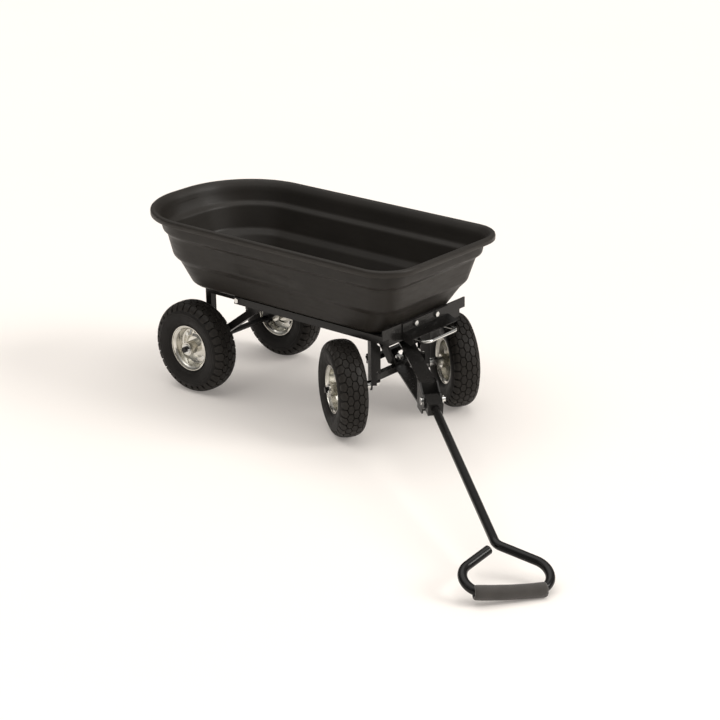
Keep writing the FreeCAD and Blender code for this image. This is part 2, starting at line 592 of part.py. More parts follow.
def knuckle(side):
    """The upright steering post of one front wheel, with its lugs, steering arm and stub axle."""
    half = KNUCKLE_WIDTH / 2
    foot = WHEEL_RADIUS - 13
    web = box(KNUCKLE_WEB, KNUCKLE_WEB + PLATE, -half, half, WHEEL_RADIUS, KNUCKLE_TOP)
    round_foot = rod(V(KNUCKLE_WEB, 0, WHEEL_RADIUS), AXIS_X, KNUCKLE_WIDTH, PLATE)
    post = web.fuse(round_foot.common(box(0, 60, -half, half, foot, WHEEL_RADIUS + half)))
    wide_foot = LOWER_LUG_TOP + 4
    wide_top = KNUCKLE_TOP - 22
    outer = KNUCKLE_WEB + PLATE
    for y in (-half, half - KNUCKLE_SHEET):
        post = post.fuse(prism([
            V(outer, y, WHEEL_RADIUS + 2), V(outer, y, KNUCKLE_TOP),
            V(KNUCKLE_SLIM, y, KNUCKLE_TOP), V(KNUCKLE_SLIM, y, wide_top + 8),
            V(KNUCKLE_WIDE, y, wide_top), V(KNUCKLE_WIDE, y, wide_foot),
            V(KNUCKLE_SLIM, y, wide_foot), V(KNUCKLE_SLIM, y, WHEEL_RADIUS + 2),
        ], AXIS_Y, KNUCKLE_SHEET))
    for z in (KNUCKLE_TOP - PLATE, LOWER_LUG_TOP - PLATE, LOWER_LUG_BOTTOM):
        lug = box(0, KNUCKLE_WEB, -half + 2, half - 2, z, z + PLATE)
        lug = lug.fuse(rod(V(0, 0, z), AXIS_Z, KNUCKLE_WIDTH - 4, PLATE))
        post = post.fuse(lug)
    arm = prism([V(KNUCKLE_WEB + PLATE, -8, STEERING_ARM_Z), V(KNUCKLE_WEB + PLATE, 14, STEERING_ARM_Z),
                 V(9, STEERING_ARM, STEERING_ARM_Z), V(-9, STEERING_ARM, STEERING_ARM_Z),
                 V(KNUCKLE_WEB - 8, 14, STEERING_ARM_Z), V(KNUCKLE_WEB, -8, STEERING_ARM_Z)], AXIS_Z, PLATE)
    post = post.fuse(arm).fuse(rod(V(0, STEERING_ARM, STEERING_ARM_Z), AXIS_Z, 18, PLATE))
    stub_end = WHEEL_OFFSET + HUB_HALF + 12
    stub = rod(V(KNUCKLE_WEB, 0, WHEEL_RADIUS), AXIS_X, AXLE_DIA, stub_end - KNUCKLE_WEB)
    post = post.fuse(stub).removeSplitter()
    for z in (KNUCKLE_TOP - PLATE, LOWER_LUG_BOTTOM - 1):
        post = post.cut(rod(V(0, 0, z - 1), AXIS_Z, PIN_DIA + BORE_PLAY, 40))
    post = post.cut(rod(V(0, STEERING_ARM, STEERING_ARM_Z - 1), AXIS_Z, TIE_PIN_DIA + BORE_PLAY, PLATE + 2))
    post = post.cut(rod(V(stub_end - 6, -10, WHEEL_RADIUS), AXIS_Y, 3.2, 20))
    if side < 0:
        post = mirrored(post)
    post.translate(V(side * KINGPIN_X, -WHEELBASE, 0))
    return post


def knuckle_hardware(side):
    """Spacer, washer and split pin on the stub axle."""
    parts = axle_end_hardware(WHEEL_OFFSET - HUB_HALF, WHEEL_OFFSET + HUB_HALF, KNUCKLE_WEB + PLATE)
    parts.translate(V(0, 0, WHEEL_RADIUS))
    if side < 0:
        parts = mirrored(parts)
    parts.translate(V(side * KINGPIN_X, -WHEELBASE, 0))
    return parts


def tie_rod():
    """The square bar that joins the two steering arms, with its pins and the centre drive pin."""
    y = -WHEELBASE + STEERING_ARM
    half = TIE_ROD / 2
    bar = box(-KINGPIN_X, KINGPIN_X, y - half, y + half, TIE_ROD_Z, TIE_ROD_Z + TIE_ROD)
    lug = box(-9, 9, y - 13, y, TIE_ROD_Z, TIE_ROD_Z + 6)
    bar = bar.fuse(lug)
    for side in (-1, 1):
        x = side * KINGPIN_X
        bar = bar.fuse(rod(V(x, y, TIE_ROD_Z), AXIS_Z, TIE_ROD, TIE_ROD))
        bar = bar.fuse(rod(V(x, y, TIE_ROD_Z), AXIS_Z, TIE_PIN_DIA, TIE_ROD + PLATE + 4))
        bar = bar.fuse(hexagon(V(x, y, STEERING_ARM_Z + PLATE + 0.4), AXIS_Z, 13, 5))
    drive_y = -WHEELBASE + TAIL_RADIUS
    bar = bar.fuse(rod(V(0, drive_y, LOWER_ARM_Z - 4), AXIS_Z, TIE_PIN_DIA, TIE_ROD_Z - LOWER_ARM_Z + 4))
    return bar.removeSplitter()


def drawbar_lower_arm():
    """The level strip from the lower pivot to the nose, with a slotted tail behind the pivot."""
    half = ARM_WIDTH / 2
    y_nose = -WHEELBASE - LOWER_ARM_REACH
    strip = box(-half, half, y_nose, -WHEELBASE, LOWER_ARM_Z, LOWER_ARM_Z + ARM_THICK)
    strip = strip.fuse(rod(V(0, -WHEELBASE, LOWER_ARM_Z), AXIS_Z, ARM_WIDTH, ARM_THICK))
    tail = slot_plate(0, -WHEELBASE, 0, -WHEELBASE + TAIL_RADIUS + 3, 12.5, LOWER_ARM_Z, ARM_THICK)
    strip = strip.fuse(tail).removeSplitter()
    strip = strip.cut(rod(V(0, -WHEELBASE, LOWER_ARM_Z - 1), AXIS_Z, PIN_DIA + BORE_PLAY, ARM_THICK + 2))
    y_tail = -WHEELBASE + TAIL_RADIUS
    slot = slot_plate(0, y_tail - 1, 0, y_tail + 3, 5.6, LOWER_ARM_Z - 1, ARM_THICK + 2)
    return strip.cut(slot)


def upper_arm_z(reach):
    return UPPER_ARM_REAR_Z + (UPPER_ARM_FRONT_Z - UPPER_ARM_REAR_Z) * reach / UPPER_ARM_REACH


def drawbar_upper_arm():
    """The sloping strip from the upper pivot down to the nose, with its front end bent down."""
    half = ARM_WIDTH / 2
    rear = V(-half, -WHEELBASE - 22, UPPER_ARM_REAR_Z)
    front = V(-half, -WHEELBASE - UPPER_ARM_REACH, UPPER_ARM_FRONT_Z)
    up = V(0, 0, ARM_THICK)
    strip = prism([rear, front, front + up, rear + up], AXIS_X, ARM_WIDTH)
    head = box(-half, half, -WHEELBASE - 22, -WHEELBASE, UPPER_ARM_REAR_Z, UPPER_ARM_REAR_Z + ARM_THICK)
    head = head.fuse(rod(V(0, -WHEELBASE, UPPER_ARM_REAR_Z), AXIS_Z, ARM_WIDTH, ARM_THICK))
    lip = box(-half, half, front.y, front.y + ARM_THICK,
              UPPER_ARM_FRONT_Z - UPPER_ARM_LIP, UPPER_ARM_FRONT_Z + 2)
    strip = strip.fuse(head).fuse(lip).removeSplitter()
    return strip.cut(rod(V(0, -WHEELBASE, UPPER_ARM_REAR_Z - 1), AXIS_Z, PIN_DIA + BORE_PLAY, ARM_THICK + 2))


def drawbar_cheek(side):
    """One upright side plate of the nose; it joins both strips and holds the handle pin."""
    x0 = ARM_WIDTH / 2
    back = -WHEELBASE - 304
    nose = -WHEELBASE - PIN_REACH
    low = LOWER_ARM_Z - 5
    cheek = prism([V(x0, back, low), V(x0, back, upper_arm_z(304) + 9),
                   V(x0, back - 24, upper_arm_z(328) + 9), V(x0, nose, PIN_Z + 20),
                   V(x0, nose, PIN_Z - 20), V(x0, nose + 6, low)], AXIS_X, PLATE)
    cheek = cheek.fuse(rod(V(x0, nose, PIN_Z), AXIS_X, 40, PLATE)).removeSplitter()
    cheek = cheek.cut(rod(V(x0 - 1, nose, PIN_Z), AXIS_X, PIN_DIA + BORE_PLAY, PLATE + 2))
    return cheek if side > 0 else mirrored(cheek)


# ---------------------------------------------------------------- the pull handle, drawn level ahead
PIN_PLACE = V(0, -WHEELBASE - PIN_REACH, PIN_Z)
SOCKET_HALF = 16.0
SOCKET_WIDTH = ARM_WIDTH - 1.0
SOCKET_LENGTH = 46.0
SHAFT_START = 14.0


def handle_socket():
    """The block on the end of the shaft that turns on the pin between the cheeks."""
    half = SOCKET_WIDTH / 2
    body = box(-half, half, -SOCKET_LENGTH, 0, -SOCKET_HALF, SOCKET_HALF)
    body = body.fuse(rod(V(-half, 0, 0), AXIS_X, 2 * SOCKET_HALF, SOCKET_WIDTH)).removeSplitter()
    body = body.cut(rod(V(-30, 0, 0), AXIS_X, PIN_DIA + BORE_PLAY, 60))
    body = body.cut(rod(V(0, -SHAFT_START, 0), V(0, -1, 0), HANDLE_TUBE, SOCKET_LENGTH))
    body.translate(PIN_PLACE)
    return body


def handle_pin():
    """The pin through the cheeks and the socket, with a flat head and a split pin."""
    start = -ARM_WIDTH / 2 - PLATE - 0.3
    pin = rod(V(start, 0, 0), AXIS_X, PIN_DIA, 60)
    pin = pin.fuse(rod(V(start - 4, 0, 0), AXIS_X, 20, 4)).removeSplitter()
    pin = pin.fuse(rod(V(start + 54, 0, -11), AXIS_Z, 3.2, 22)).removeSplitter()
    pin.translate(PIN_PLACE)
    return pin


def loop_points():
    """The handle's centre line: down the shaft, round the triangular loop and back to its free end."""
    bend = V(0, -HANDLE_SHAFT, 0)
    drop = math.radians(LOOP_DROP)
    twist = math.radians(LOOP_TWIST)
    ahead = V(0, -math.cos(drop), -math.sin(drop))
    level = V(1, 0, 0)
    raised = V(0, -math.sin(drop), math.cos(drop))
    across = level * math.cos(twist) - raised * math.sin(twist)
    left = bend + across * LOOP_LEFT[0] + ahead * LOOP_LEFT[1]
    right = bend - across * LOOP_RIGHT[0] + ahead * LOOP_RIGHT[1]
    crown = bend + ahead * LOOP_CROWN
    back = (bend - right).normalize()
    return [V(0, -SHAFT_START, 0), bend, left, crown, right, bend - back * LOOP_END_GAP]


LOOP_BENDS = [LOOP_LEFT_RADIUS, LOOP_CROWN_RADIUS, LOOP_RIGHT_RADIUS]


def handle_bar():
    """One round bar: the shaft and the loop, whose end is left free beside the shaft."""
    bar = swept_rod(loop_points(), [SHAFT_BEND_RADIUS] + LOOP_BENDS, HANDLE_TUBE)
    bar.translate(PIN_PLACE)
    return bar


def beyond(place, direction, reach):
    """A large block that fills the space past a plane through place, looking along direction."""
    block = box(-reach, reach, -reach, reach, 0, 2 * reach)
    block.Placement = FreeCAD.Placement(place, FreeCAD.Rotation(AXIS_Z, direction))
    return block


def grip():
    """The foam sleeve on the far side of the loop, following its bar a little way into each bend."""
    bend, left, crown, right, tail = loop_points()[1:]
    run = [bend + (left - bend) * 0.3, left, crown, right, tail]
    foam = swept_rod(run, LOOP_BENDS, 2 * GRIP_RADIUS).cut(swept_rod(run, LOOP_BENDS, HANDLE_TUBE))
    normal = (left - bend).cross(crown - bend).normalize()
    ends = ((left, GRIP_LEFT, -GRIP_LEFT_TILT), (right, GRIP_RIGHT, GRIP_RIGHT_TILT))
    for corner, reach, tilt in ends:
        outward = (corner - crown).normalize()
        tilted = FreeCAD.Rotation(normal, tilt).multVec(outward)
        foam = foam.cut(beyond(crown + outward * reach, tilted, 4 * GRIP_LEFT))
    pieces = sorted(foam.Solids, key=lambda piece: piece.Volume)
    foam = pieces[-1]
    foam.translate(PIN_PLACE)
    return foam


# ---------------------------------------------------------------- the wheels, drawn about the origin
def revolved(points):
    """A ring from an outline of (along the axle, radius) points."""
    outline = Part.makePolygon([V(x, 0, r) for x, r in list(points) + [points[0]]])
    return Part.Face(outline).revolve(V(0, 0, 0), AXIS_X, 360)


# The face of the rim that the tyre's bead sits on: (along the axle, radius).
BEAD_SEAT = ((17.0, 56.1), (23.5, 57.0), (25.2, 60.0), (27.0, 64.2))
RIM_STUD_DIA = 6.0
RIM_STUD_CIRCLE = 41.0
RIM_VENT_DIA = 10.0
HUB_RADIUS = 18.5
VALVE_DIR = V(0.55, 0, -1)
VALVE_DIA = 8.0


def tyre():
    half = TYRE_WIDTH / 2
    top = WHEEL_RADIUS
    outside = [(29, 66), (33, 71), (36.5, 79), (39, 88), (half, 98), (38.7, 108), (34.5, 117),
               (28.5, 124), (19, 128)]
    inside = [(20, top - 10), (28, 114), (33, 104), (34, 94), (31, 82), (26, 73), (18.5, 65)]
    section = list(BEAD_SEAT) + outside + [(8, top), (-8, top)]
    section += [(-x, r) for x, r in reversed(list(BEAD_SEAT) + outside)]
    section += [(-x, r) for x, r in reversed(inside)] + inside
    return revolved(section)


def rim_half(face):
    """A pressed steel half rim: face is +1 for the side away from the cart, -1 for the cart side."""
    dish = [(31, 64.5), (31, 62.6), (29, 62), (27, 58), (24, 55), (10, 53), (3.4, 51), (2, 46.5),
            (2, 35), (5, 27), (5, HUB_RADIUS), (3, HUB_RADIUS), (3, 26), (0, 33), (0, 47.5), (1.4, 53),
            (9.5, 55)]
    half = revolved(dish + list(BEAD_SEAT))
    for i in range(4):
        for place, hole in ((rim_place(i + 0.5), RIM_STUD_DIA), (rim_place(i), RIM_VENT_DIA)):
            half = half.cut(rod(place - AXIS_X * 2, AXIS_X, hole, 12))
    return half if face > 0 else mirrored(half)


def rim_place(quarters):
    """A point on the rim's bolt circle, a number of quarter turns round."""
    angle = math.radians(90 * quarters)
    return V(0, RIM_STUD_CIRCLE * math.cos(angle), RIM_STUD_CIRCLE * math.sin(angle))


def rim_fittings():
    """The four bolts that clamp the two half rims together, and the tyre valve."""
    bolts = []
    for i in range(4):
        place = rim_place(i + 0.5)
        one = bolt(V(2, place.y, place.z), V(-1, 0, 0), RIM_STUD_DIA, 12, 10, 4)
        bolts.append(one.fuse(hexagon(V(-2, place.y, place.z), V(-1, 0, 0), 10, 5)).removeSplitter())
    return Part.makeCompound(bolts + [valve_stem()])


def valve_stem():
    """The tyre valve, standing out of the outer half rim towards the hub."""
    stem = rod(V(9.2, 0, 62), VALVE_DIR, VALVE_DIA, 27)
    return stem.fuse(rod(V(9.2, 0, 62), VALVE_DIR, 10, 3.5)).removeSplitter()


def rim_outer():
    return rim_half(1).cut(rod(V(7.0, 0, 66), VALVE_DIR, VALVE_DIA, 32))


def rim_inner():
    return rim_half(-1)


def wheel_hub():
    """The hub tube with its two bearing ends, turning on the axle with a small clearance."""
    barrel = sleeve(V(-HUB_HALF, 0, 0), AXIS_X, 2 * HUB_RADIUS, 26, 2 * HUB_HALF)
    bush = AXLE_DIA + 2 * AXLE_CLEARANCE
    for x in (-HUB_HALF, HUB_HALF - 12):
        barrel = barrel.fuse(sleeve(V(x, 0, 0), AXIS_X, 26, bush, 12))
    collar = sleeve(V(-3, 0, 0), AXIS_X, 50, 36, 6)
    return barrel.fuse(collar).removeSplitter()


WHEEL_PARTS = (("tyre", tyre), ("rim_outer", rim_outer), ("rim_inner", rim_inner), ("hub", wheel_hub),
               ("rim_fittings", rim_fittings))


# ---------------------------------------------------------------- assembly
def drawbar_placed(shape):
    return turned(shape, V(0, -WHEELBASE, 0), AXIS_Z, DRAWBAR_TURN)


def handle_placed(shape):
    lowered = turned(shape, PIN_PLACE, AXIS_X, HANDLE_DROP)
    return drawbar_placed(lowered)


def tie_rod_placed(shape):
    """The bar keeps pointing across the cart while its ends swing with the steering arms."""
    angle = math.radians(WHEEL_TURN)
    moved = shape.copy()
    moved.translate(V(-STEERING_ARM * math.sin(angle), STEERING_ARM * (math.cos(angle) - 1), 0))
    return moved


def build_frame():
    nodes = {}
    for side, name in ((1, "left"), (-1, "right")):
        nodes["side_rail_" + name] = side_rail(side)
        nodes["rear_rail_" + name] = rear_rail(side)
        nodes["rear_leg_" + name] = rear_leg(side)
        nodes["rear_brace_" + name] = rear_brace(side)
        nodes["front_strut_" + name] = front_strut(side)
    nodes["front_cross_member"] = front_cross_member()
    nodes["rear_cross_member"] = rear_cross_member()
    nodes["pivot_cross_member"] = pivot_cross_member()
    nodes["axle_beam"] = axle_beam()
    nodes["rear_axle"] = rear_axle()
    nodes["rear_axle_hardware"] = rear_axle_hardware()
    nodes["pivot_bolts"] = pivot_bolts()
    nodes["frame_bolts"] = frame_bolts()
    nodes["hinge_pins"] = hinge_pins()
    nodes["latch_housing"] = latch_housing()
    nodes["latch_springs"] = latch_springs()
    return nodes


def build_tub():
    return {
        "tub": tub(),
        "hinge_bracket_left": hinge_bracket(1),
        "hinge_bracket_right": hinge_bracket(-1),
        "tub_catch": tub_catch(),
        "tub_bolts": tub_bolts(),
    }


def build_latch():
    return {"release_bail": release_bail()}


def build_steering():
    nodes = {}
    for side, name in ((1, "left"), (-1, "right")):
        centre = V(side * KINGPIN_X, -WHEELBASE, 0)
        nodes["knuckle_" + name] = turned(knuckle(side), centre, AXIS_Z, WHEEL_TURN)
        nodes["knuckle_hardware_" + name] = turned(knuckle_hardware(side), centre, AXIS_Z, WHEEL_TURN)
        nodes["drawbar_cheek_" + name] = drawbar_placed(drawbar_cheek(side))
    nodes["tie_rod"] = tie_rod_placed(tie_rod())
    nodes["drawbar_lower_arm"] = drawbar_placed(drawbar_lower_arm())
    nodes["drawbar_upper_arm"] = drawbar_placed(drawbar_upper_arm())
    nodes["handle_pin"] = drawbar_placed(handle_pin())
    for name, make in (("handle_socket", handle_socket), ("handle_bar", handle_bar), ("grip", grip)):
        nodes[name] = handle_placed(make())
    return nodes


def wheel_placements():
    """The hub centre of each wheel, the side its outer face is on, and its turn about an upright axis."""
    places = {}
    for side, name in ((1, "left"), (-1, "right")):
        places["rear_" + name] = (V(side * REAR_TRACK_HALF, 0, WHEEL_RADIUS), side, 0.0)
        angle = math.radians(WHEEL_TURN)
        reach = V(math.cos(angle), math.sin(angle), 0) * (side * WHEEL_OFFSET)
        hub = V(side * KINGPIN_X, -WHEELBASE, WHEEL_RADIUS) + reach
        places["front_" + name] = (hub, side, WHEEL_TURN)
    return places


def build_wheels():
    nodes = {}
    made = {part: make() for part, make in WHEEL_PARTS}
    for place, (centre, side, turn) in wheel_placements().items():
        for part, shape in made.items():
            one = mirrored(shape) if side < 0 else shape.copy()
            one.rotate(V(0, 0, 0), AXIS_Z, turn)
            one.translate(centre)
            nodes[place + "_" + part] = one
    return nodes


def build_all():
    nodes = {}
    for build in (build_frame, build_tub, build_latch, build_steering, build_wheels):
        nodes.update(build())
    everything = Part.makeCompound(list(nodes.values())).BoundBox
    shift = V(-everything.Center.x, -everything.Center.y, 0)
    for shape in nodes.values():
        shape.translate(shift)
    return nodes, shift


def export(nodes):
    os.makedirs("parts", exist_ok=True)
    for name, shape in nodes.items():
        shape.exportStep("parts/" + name + ".step")


NODES, SHIFT = build_all()
export(NODES)
print(len(NODES), "nodes, shift", SHIFT, "box", Part.makeCompound(list(NODES.values())).BoundBox)
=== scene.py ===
import json
import math

import bmesh
import bpy
import numpy as np
from mathutils import Matrix, Vector


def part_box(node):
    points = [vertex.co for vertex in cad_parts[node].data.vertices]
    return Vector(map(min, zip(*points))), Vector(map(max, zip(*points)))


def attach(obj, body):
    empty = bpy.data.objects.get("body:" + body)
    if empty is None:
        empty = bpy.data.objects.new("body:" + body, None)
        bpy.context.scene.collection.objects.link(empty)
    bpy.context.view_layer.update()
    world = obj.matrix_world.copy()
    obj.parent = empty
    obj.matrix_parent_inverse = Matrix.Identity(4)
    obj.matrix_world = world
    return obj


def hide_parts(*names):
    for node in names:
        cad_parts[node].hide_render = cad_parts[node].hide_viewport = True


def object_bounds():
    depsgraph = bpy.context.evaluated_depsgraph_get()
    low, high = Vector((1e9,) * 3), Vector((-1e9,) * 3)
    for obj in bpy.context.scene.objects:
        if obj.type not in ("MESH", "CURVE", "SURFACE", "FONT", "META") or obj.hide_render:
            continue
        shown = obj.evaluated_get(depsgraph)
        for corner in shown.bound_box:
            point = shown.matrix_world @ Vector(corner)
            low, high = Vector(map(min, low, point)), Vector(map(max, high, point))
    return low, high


# Garden tipping cart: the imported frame, with a moulded tub, treaded tyres and a foam grip built
# round it, and a finish for every steel part. Lengths are in metres.

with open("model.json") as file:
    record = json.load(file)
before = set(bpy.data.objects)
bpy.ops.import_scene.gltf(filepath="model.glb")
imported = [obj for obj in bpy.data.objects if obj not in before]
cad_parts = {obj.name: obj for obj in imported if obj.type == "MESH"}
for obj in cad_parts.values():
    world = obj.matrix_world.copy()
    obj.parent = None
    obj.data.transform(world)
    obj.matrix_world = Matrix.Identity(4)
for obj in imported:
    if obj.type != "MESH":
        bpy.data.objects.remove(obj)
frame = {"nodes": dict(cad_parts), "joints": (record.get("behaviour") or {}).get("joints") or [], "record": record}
CAD_LOW, CAD_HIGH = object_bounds()
NODES = frame["nodes"]
JOINTS = {joint["name"]: joint for joint in frame["joints"]}
MM = 0.001

# ---------------------------------------------------------------- camera and light
CAMERA_YAW = 49.67
CAMERA_PITCH = 20.8
CAMERA_ROLL = -0.82
CAMERA_DISTANCE = 5.159
CAMERA_LENS = 101.2
CAMERA_AIM_OFFSET = Vector((0.0037, -0.0041, 0.0012))
# The sky's brightness as (how far up, level): dim at the horizon, so that dark faces stay dark.
SKY_LEVELS = ((0.0, 0.05), (0.9, 0.62))

# ---------------------------------------------------------------- the tub
# Outer faces of the tub wall, as (height above the floor, then the distances in from the rim's
# outer face at the sides, front and rear, then the front and rear corner radius), in millimetres.
TUB_LEVELS = (
    (0.0, 104.0, 125.5, 138.0, 50.0, 92.0),
    (7.0, 95.0, 116.5, 128.0, 58.0, 101.0),
    (66.7, 71.0, 78.0, 86.0, 62.0, 135.0),
    (82.7, 57.0, 65.0, 66.0, 64.0, 152.0),
    (145.7, 43.0, 47.0, 52.0, 66.0, 165.0),
    (156.7, 31.0, 35.0, 39.0, 68.0, 180.0),
)
TUB_WALL_TOP = (194.0, 25.0, 28.0, 25.0, 70.0, 197.0)
TUB_WALL = 4.0
RIM_FRONT_RADIUS = 98.0
RIM_REAR_RADIUS = 222.0
RIM_LIP = 17.5
LEDGE_SOFTNESS = 5.0
PANEL_REAR = 405.0
PANEL_FRONT = 585.0
PANEL_LOW = 90.0
PANEL_HIGH = 121.0
PANEL_DEPTH = 1.6
PANEL_EDGE = 2.0
FRONT_CORNER_STEPS = 12
REAR_CORNER_STEPS = 22

# ---------------------------------------------------------------- the tyres
# One side of the tyre's outer face from the crown to the bead: (along the axle, radius), mm.
TYRE_SIDE = ((0.0, 130.0), (8.0, 129.9), (19.0, 128.2), (28.5, 124.0), (34.5, 117.5), (38.4, 108.0),
             (39.6, 98.0), (38.7, 88.0), (36.3, 79.0), (32.8, 71.5), (29.4, 66.4), (27.6, 64.0))
# The rest of the section: round the bead, then up the inside to the crown, (along the axle, radius), mm.
TYRE_INSIDE = ((27.0, 64.2), (25.2, 60.0), (23.5, 57.0), (17.0, 56.1), (18.5, 65.0), (26.0, 73.0),
               (31.0, 82.0), (34.0, 94.0), (33.0, 104.0), (28.0, 114.0), (20.0, 120.0))
TREAD_DEPTH = 4.2
TREAD_PITCHES = 32
TREAD_ROW_STEP = 15.0
TREAD_GAP = 3.0
SHOULDER_END = 47.0
TYRE_SEGMENTS = 128

# ---------------------------------------------------------------- the grip
GRIP_RADIUS = 17.2
GRIP_BORE = 11.1


# ---------------------------------------------------------------- small helpers
def mesh_piece(name, bm, material, sharp=None):
    """A new object from a bmesh, smooth shaded apart from edges sharper than the given angle."""
    bmesh.ops.recalc_face_normals(bm, faces=bm.faces)
    mesh = bpy.data.meshes.new(name)
    bm.to_mesh(mesh)
    bm.free()
    for polygon in mesh.polygons:
        polygon.use_smooth = True
    if sharp is not None:
        mesh.set_sharp_from_angle(angle=math.radians(sharp))
    mesh.materials.append(material)
    piece = bpy.data.objects.new(name, mesh)
    bpy.context.scene.collection.objects.link(piece)
    return piece


def blend_rows(a, b, t):
    return tuple(p + (q - p) * t for p, q in zip(a, b))


def softened(rows, reach, steps=4):
    """The same run of rows with every corner rounded, starting and ending reach away from it."""
    made = [rows[0]]
    for before, corner, after in zip(rows, rows[1:], rows[2:]):
        back = math.dist(before[:3], corner[:3])
        ahead = math.dist(corner[:3], after[:3])
        near = min(reach, back * 0.45, ahead * 0.45)
        start = blend_rows(corner, before, near / back)
        end = blend_rows(corner, after, near / ahead)
        for i in range(steps + 1):
            t = i / steps
            made.append(blend_rows(blend_rows(start, corner, t), blend_rows(corner, end, t), t))
    made.append(rows[-1])
    return made


# ---------------------------------------------------------------- materials
class Finish:
    """A node material under construction: its Principled shader and short calls for its inputs."""

    def __init__(self, name, **sockets):
        self.material = bpy.data.materials.new(name)
        self.material.use_nodes = True
        self.tree = self.material.node_tree
        self.shader = self.tree.nodes["Principled BSDF"]
        for socket, value in sockets.items():
            self.shader.inputs[socket.replace("_", " ")].default_value = value
        self.place = self.node("ShaderNodeTexCoord").outputs["Object"]

    def node(self, kind, **settings):
        made = self.tree.nodes.new(kind)
        for key, value in settings.items():
            setattr(made, key, value)
        return made

    def feed(self, value, socket):
        if hasattr(value, "is_linked"):
            self.tree.links.new(value, socket)
        else:
            socket.default_value = value

    def noise(self, scale, detail=3.0, roughness=0.55, stretch=None):
        made = self.node("ShaderNodeTexNoise")
        place = self.place
        if stretch:
            mapping = self.node("ShaderNodeMapping")
            mapping.inputs["Scale"].default_value = stretch
            self.feed(self.place, mapping.inputs["Vector"])
            place = mapping.outputs["Vector"]
        self.feed(place, made.inputs["Vector"])
        made.inputs["Scale"].default_value = scale
        made.inputs["Detail"].default_value = detail
        made.inputs["Roughness"].default_value = roughness
        return made.outputs["Fac"]

    def cells(self, scale):
        made = self.node("ShaderNodeTexVoronoi")
        self.feed(self.place, made.inputs["Vector"])
        made.inputs["Scale"].default_value = scale
        return made.outputs["Distance"]

    def ramp(self, factor, *stops):
        made = self.node("ShaderNodeValToRGB")
        elements = made.color_ramp.elements
        for element, (at, colour) in zip(elements, (stops[0], stops[-1])):
            element.position = at
            element.color = (*colour, 1.0)
        for at, colour in stops[1:-1]:
            elements.new(at).color = (*colour, 1.0)
        self.feed(factor, made.inputs["Fac"])
        return made.outputs["Color"]

    def span(self, factor, low, high, start=0.3, end=0.7):
        made = self.node("ShaderNodeMapRange")
        limits = (("From Min", start), ("From Max", end), ("To Min", low), ("To Max", high))
        for socket, value in limits:
            made.inputs[socket].default_value = value
        self.feed(factor, made.inputs["Value"])
        return made.outputs["Result"]

    def mixed(self, factor, first, second):
        made = self.node("ShaderNodeMix", data_type="RGBA")
        self.feed(factor, made.inputs["Factor"])
        for value, socket in ((first, made.inputs[6]), (second, made.inputs[7])):
            self.feed(value if hasattr(value, "is_linked") else (*value, 1.0), socket)
        return made.outputs[2]

    def edges(self, start=0.52, end=0.6):
        """High on outward edges and low on flat faces: the mask for the painted edge highlights."""
        return self.span(self.node("ShaderNodeNewGeometry").outputs["Pointiness"], 0.0, 1.0, start, end)

    def bump(self, *layers):
        """Each layer is (height, distance in metres, strength)."""
        normal = None
        for height, distance, strength in layers:
            made = self.node("ShaderNodeBump")
            made.inputs["Strength"].default_value = strength
            made.inputs["Distance"].default_value = distance
            self.feed(height, made.inputs["Height"])
            if normal is not None:
                self.feed(normal, made.inputs["Normal"])
            normal = made.outputs["Normal"]
        self.feed(normal, self.shader.inputs["Normal"])

    def colour(self, value):
        self.feed(value, self.shader.inputs["Base Color"])

    def rough(self, value):
        self.feed(value, self.shader.inputs["Roughness"])


def tub_plastic():
    finish = Finish("tub_plastic", IOR=1.45, Specular_IOR_Level=0.3)
    broad = finish.noise(6.0, 4.0)
    flow = finish.noise(22.0, 3.0, stretch=(1.0, 1.0, 5.0))
    base = finish.ramp(broad, (0.3, (0.015, 0.0128, 0.0105)), (0.7, (0.021, 0.018, 0.0148)))
    # Painted highlight: a lighter colour along the outward edges, standing in for light caught by the edges.
    painted_edge_highlight = finish.mixed(finish.edges(0.53, 0.62), base, (0.036, 0.031, 0.026))
    finish.colour(painted_edge_highlight)
    finish.rough(finish.span(flow, 0.40, 0.52))
    finish.bump((finish.noise(900.0, 2.0), 0.00012, 0.55), (finish.noise(14.0, 2.0), 0.0012, 0.25))
    return finish.material


def tyre_rubber():
    finish = Finish("tyre_rubber", IOR=1.42, Specular_IOR_Level=0.26)
    broad = finish.noise(30.0, 5.0, 0.65)
    base = finish.ramp(broad, (0.3, (0.007, 0.0062, 0.0055)), (0.75, (0.014, 0.0125, 0.011)))
    # Painted highlight: a lighter colour along the outward edges of the tread and tyre, standing in for light
    # caught by the edges.
    painted_edge_highlight = finish.mixed(finish.edges(0.52, 0.64), base, (0.030, 0.026, 0.022))
    finish.colour(painted_edge_highlight)
    finish.rough(finish.span(finish.noise(60.0, 4.0), 0.42, 0.62))
    finish.bump((finish.noise(700.0, 3.0), 0.0002, 0.6), (finish.noise(120.0, 3.0), 0.0004, 0.35))
    return finish.material


def black_paint():
    finish = Finish("black_paint", IOR=1.42, Specular_IOR_Level=0.26, Coat_Weight=0.08, Coat_Roughness=0.06)
    broad = finish.noise(18.0, 4.0)
    base = finish.ramp(broad, (0.3, (0.0035, 0.0032, 0.003)), (0.7, (0.0065, 0.006, 0.0055)))
    # Painted highlight: a lighter colour along the outward edges of the frame, standing in for glossy light on the
    # edges.
    painted_edge_highlight = finish.mixed(finish.edges(0.54, 0.68), base, (0.022, 0.021, 0.020))
    finish.colour(painted_edge_highlight)
    finish.rough(finish.span(finish.noise(40.0, 4.0), 0.17, 0.28))
    finish.bump((finish.noise(420.0, 2.0), 0.00016, 0.35))
    return finish.material


